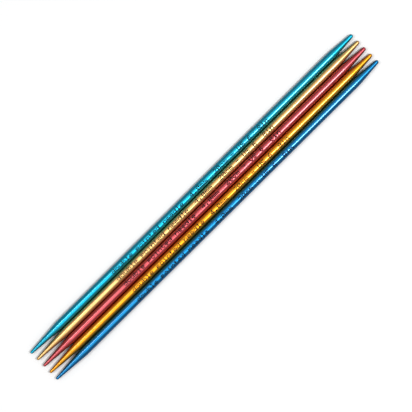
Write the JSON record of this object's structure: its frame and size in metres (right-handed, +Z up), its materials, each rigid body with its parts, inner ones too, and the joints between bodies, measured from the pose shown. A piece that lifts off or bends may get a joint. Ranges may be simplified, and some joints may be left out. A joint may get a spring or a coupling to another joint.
{
  "type": "double pointed knitting needles",
  "caption": "Straight turned knitting needles with a point at each end, in a different anodised colour each, lying side by side.",
  "frame": {"origin": "under the middle of the row, on the surface that the needles rest on", "axes": "+X along the needles towards their blunter points, +Y across the row from the blue needle to the teal one, +Z up"},
  "size_m": [0.2, 0.02, 0.004],
  "materials": {
    "teal_anodised": "satin teal anodised",
    "champagne_anodised": "satin champagne anodised",
    "red_anodised": "satin red anodised",
    "gold_anodised": "satin gold anodised",
    "blue_anodised": "satin blue anodised",
    "marking_ink": "matt black printing ink"
  },
  "bodies": {
    "red": {"red_needle": "red_anodised"},
    "teal": {"teal_needle": "teal_anodised"},
    "champagne": {"champagne_needle": "champagne_anodised"},
    "gold": {"gold_needle": "gold_anodised"},
    "blue": {"blue_needle": "blue_anodised"}
  },
  "joints": [
    {"name": "teal_lift", "type": "slide", "parent": "red", "child": "teal", "axis": [0, 0, 1], "range_m": [0, 0.05]},
    {"name": "champagne_lift", "type": "slide", "parent": "red", "child": "champagne", "axis": [0, 0, 1], "range_m": [0, 0.05]},
    {"name": "gold_lift", "type": "slide", "parent": "red", "child": "gold", "axis": [0, 0, 1], "range_m": [0, 0.05]},
    {"name": "blue_lift", "type": "slide", "parent": "red", "child": "blue", "axis": [0, 0, 1], "range_m": [0, 0.05]}
  ]
}
